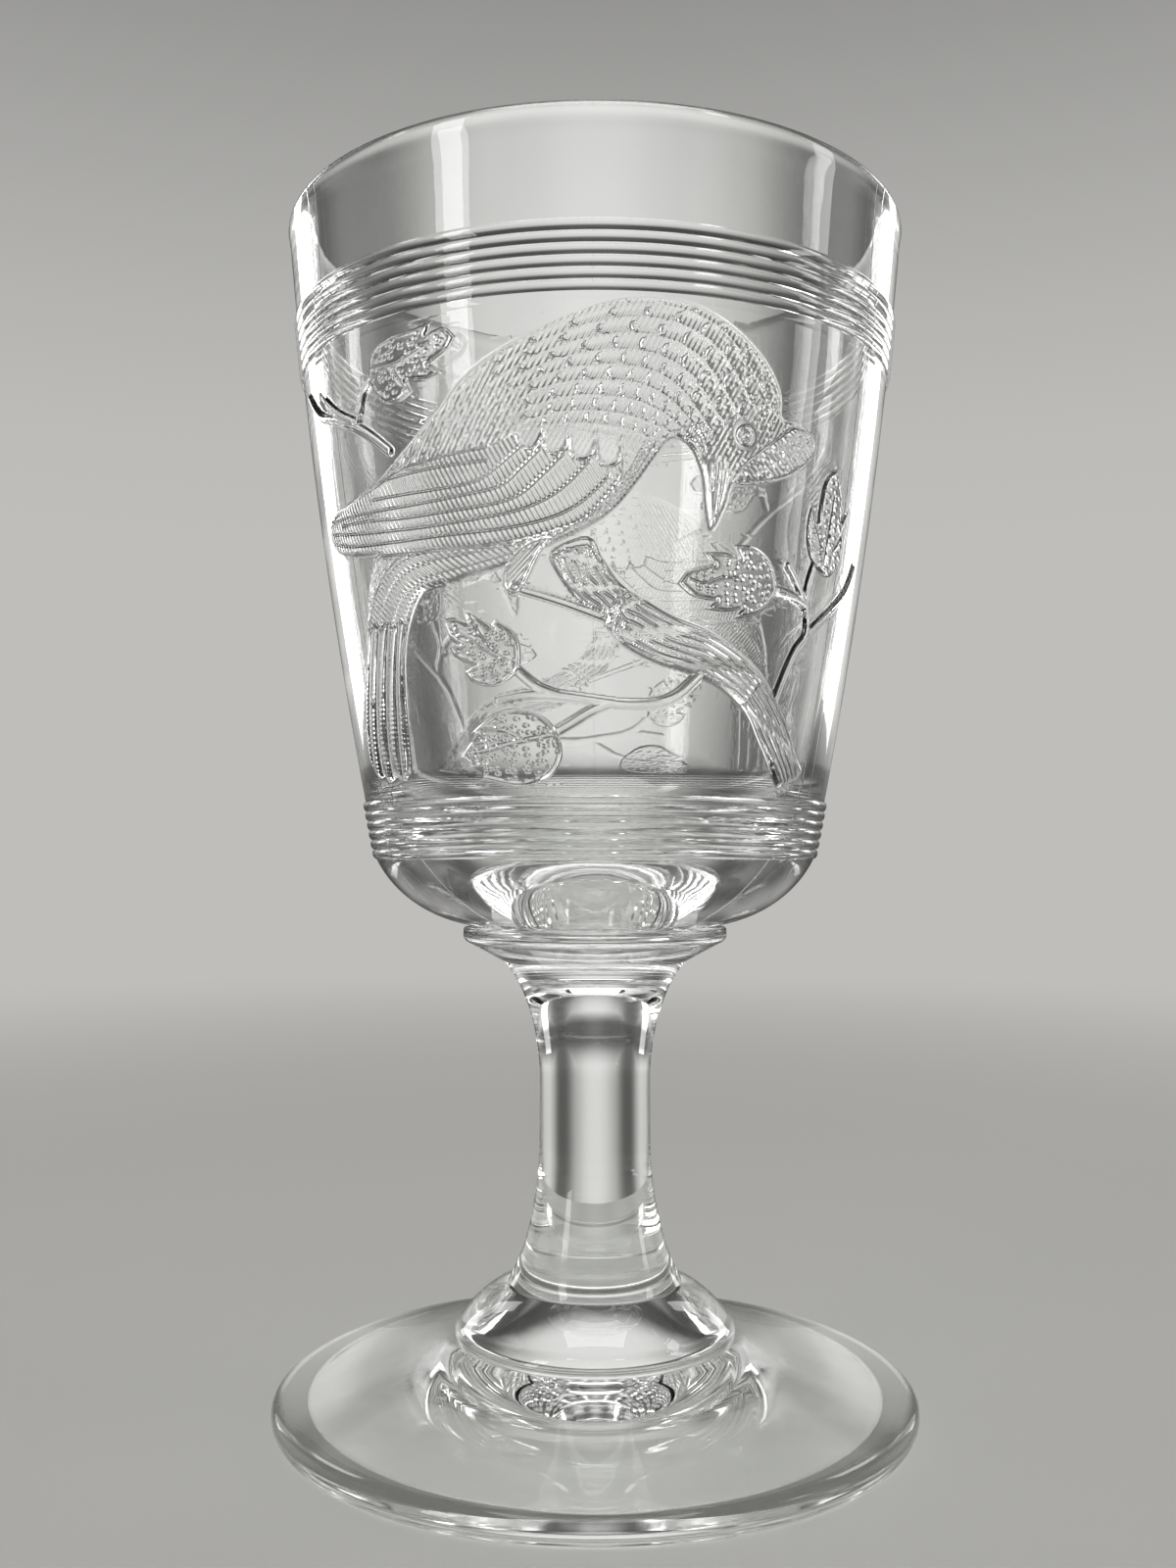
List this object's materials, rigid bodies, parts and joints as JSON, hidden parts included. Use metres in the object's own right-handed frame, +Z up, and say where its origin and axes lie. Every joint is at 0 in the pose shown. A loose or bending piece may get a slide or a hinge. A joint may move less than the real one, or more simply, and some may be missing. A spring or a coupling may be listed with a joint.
{
  "type": "goblet",
  "caption": "Clear pressed-glass goblet: tapered bowl with reeded bands and a raised bird on a branch, on a round stem with a collar, a boss and a sloping foot.",
  "frame": {"origin": "middle of the standing ring under the foot, on the table", "axes": "+Z up along the goblet's axis, -Y towards the viewer of the picture on the front, +X to that viewer's right"},
  "size_m": [0.0816, 0.0816, 0.152],
  "materials": {
    "clear_glass": "clear colourless pressed glass, fire-polished, with slight ripples, mould lines and wear on the standing ring",
    "figured_glass": "the same clear glass, finely lined and stippled by the mould"
  },
  "bodies": {
    "root": {"foot": "clear_glass", "foot_boss": "clear_glass", "stem": "clear_glass", "collar": "clear_glass", "bowl": "clear_glass", "bird_relief": "figured_glass", "branch_relief": "figured_glass", "leaf_relief": "figured_glass"}
  },
  "joints": []
}
